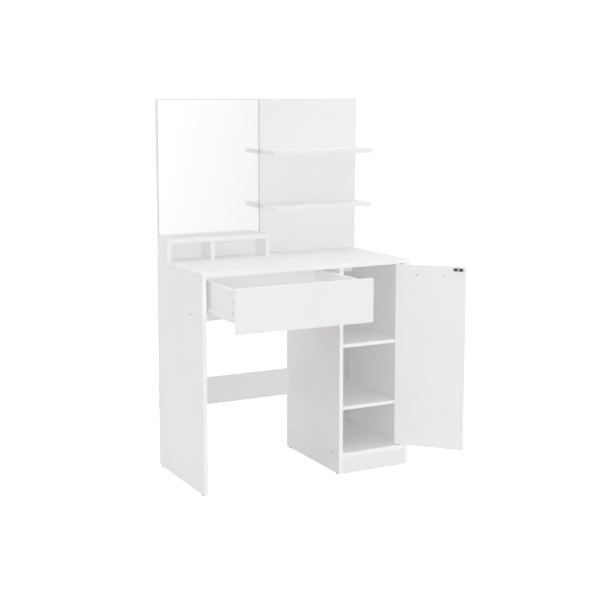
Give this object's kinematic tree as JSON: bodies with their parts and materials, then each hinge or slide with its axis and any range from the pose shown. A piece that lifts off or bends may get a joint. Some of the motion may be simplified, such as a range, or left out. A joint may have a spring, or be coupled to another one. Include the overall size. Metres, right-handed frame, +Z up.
{
  "type": "vanity table",
  "caption": "White dressing table with a frameless mirror, open hutch shelves, a small organiser, a drawer on roller runners and a side cabinet with a door.",
  "frame": {"origin": "middle of the footprint on the floor, with the drawer out and the door open as stored", "axes": "+Z up, +X to the right of someone sitting at the table, +Y from the front towards the wall"},
  "size_m": [0.928, 0.627, 1.312],
  "materials": {
    "white_melamine": "white melamine on chipboard, fine pebbled satin",
    "white_hardboard": "thin white-lacquered hardboard, matt",
    "mirror": "polished silvered glass",
    "white_runner_steel": "white epoxy coat on bent sheet steel",
    "roller_nylon": "moulded nylon",
    "white_plastic": "moulded white plastic",
    "black_plastic": "moulded black plastic",
    "grey_plastic": "moulded grey plastic",
    "zinc_steel": "zinc-plated steel",
    "dark_steel": "steel with a dark oxide finish",
    "zinc_cam": "die-cast zinc alloy",
    "satin_steel": "satin nickel-plated steel"
  },
  "bodies": {
    "carcass": {"desktop": "white_melamine", "left_side_panel": "white_melamine", "cabinet_left_panel": "white_melamine", "cabinet_right_panel": "white_melamine", "cabinet_bottom_board": "white_melamine", "plinth_board": "white_melamine", "cabinet_lower_shelf": "white_melamine", "cabinet_upper_shelf": "white_melamine", "rear_stretcher": "white_melamine", "rear_apron": "white_melamine", "hutch_back_board": "white_melamine", "hutch_lower_shelf": "white_melamine", "hutch_upper_shelf": "white_melamine", "organiser_left_side": "white_melamine", "organiser_divider": "white_melamine", "organiser_right_side": "white_melamine", "organiser_top_board": "white_melamine", "cabinet_back_panel": "white_hardboard", "mirror_glass": "mirror", "runner_cabinet_member_left": "white_runner_steel", "runner_cabinet_member_right": "white_runner_steel", "magnetic_catch_housing": "white_plastic", "hinge_bush_top": "black_plastic", "hinge_bush_bottom": "black_plastic", "glide_left_front": "grey_plastic", "glide_left_rear": "grey_plastic", "glide_middle_front": "grey_plastic", "glide_middle_rear": "grey_plastic", "glide_right_front": "grey_plastic", "glide_right_rear": "grey_plastic", "stretcher_screw_lower": "zinc_steel", "stretcher_screw_upper": "zinc_steel", "cabinet_screw_left_front": "zinc_steel", "cabinet_screw_left_rear": "zinc_steel", "cabinet_screw_right_front": "zinc_steel", "cabinet_screw_right_rear": "zinc_steel", "magnetic_catch_magnet": "zinc_steel"},
    "drawer": {"drawer_front": "white_melamine", "drawer_left_side": "white_melamine", "drawer_right_side": "white_melamine", "drawer_back": "white_melamine", "drawer_bottom": "white_hardboard", "runner_drawer_member_left": "white_runner_steel", "runner_drawer_member_right": "white_runner_steel", "cam_lock_left_lower": "zinc_cam", "cam_lock_left_upper": "zinc_cam", "cam_lock_right_lower": "zinc_cam", "cam_lock_right_upper": "zinc_cam"},
    "door": {"door_panel": "white_melamine", "door_handle": "satin_steel", "handle_screw_left": "zinc_steel", "handle_screw_right": "zinc_steel", "strike_plate": "dark_steel", "strike_screw": "zinc_steel", "hinge_pin_top": "zinc_steel", "hinge_pin_bottom": "zinc_steel"},
    "front_roller_left": {"runner_front_roller_left": "roller_nylon"},
    "front_roller_right": {"runner_front_roller_right": "roller_nylon"},
    "rear_roller_left": {"runner_rear_roller_left": "roller_nylon"},
    "rear_roller_right": {"runner_rear_roller_right": "roller_nylon"}
  },
  "joints": [
    {"name": "drawer_slide", "type": "slide", "parent": "carcass", "child": "drawer", "axis": [0, -1, 0], "range_m": [-0.227, 0.033]},
    {"name": "door_hinge", "type": "hinge", "parent": "carcass", "child": "door", "pos_m": [0.303, -0.079, 0.406], "axis": [0, 0, 1], "range_deg": [-131.5, 2]},
    {"name": "front_roller_left_turn", "type": "hinge", "parent": "carcass", "child": "front_roller_left", "pos_m": [-0.4423, -0.0595, 0.6227], "axis": [1, 0, 0], "range_deg": [-1859, 271]},
    {"name": "rear_roller_left_turn", "type": "hinge", "parent": "drawer", "child": "rear_roller_left", "pos_m": [-0.4418, 0.0415, 0.6223], "axis": [1, 0, 0], "range_deg": [-1859, 271]},
    {"name": "front_roller_right_turn", "type": "hinge", "parent": "carcass", "child": "front_roller_right", "pos_m": [0.0443, -0.0595, 0.6227], "axis": [1, 0, 0], "range_deg": [-1859, 271]},
    {"name": "rear_roller_right_turn", "type": "hinge", "parent": "drawer", "child": "rear_roller_right", "pos_m": [0.0438, 0.0415, 0.6223], "axis": [1, 0, 0], "range_deg": [-1859, 271]}
  ],
  "couplings": [
    {"joint": "front_roller_left_turn", "follows": "drawer_slide", "rad_per_m": 142.86},
    {"joint": "rear_roller_left_turn", "follows": "drawer_slide", "rad_per_m": 142.86},
    {"joint": "front_roller_right_turn", "follows": "drawer_slide", "rad_per_m": 142.86},
    {"joint": "rear_roller_right_turn", "follows": "drawer_slide", "rad_per_m": 142.86}
  ]
}
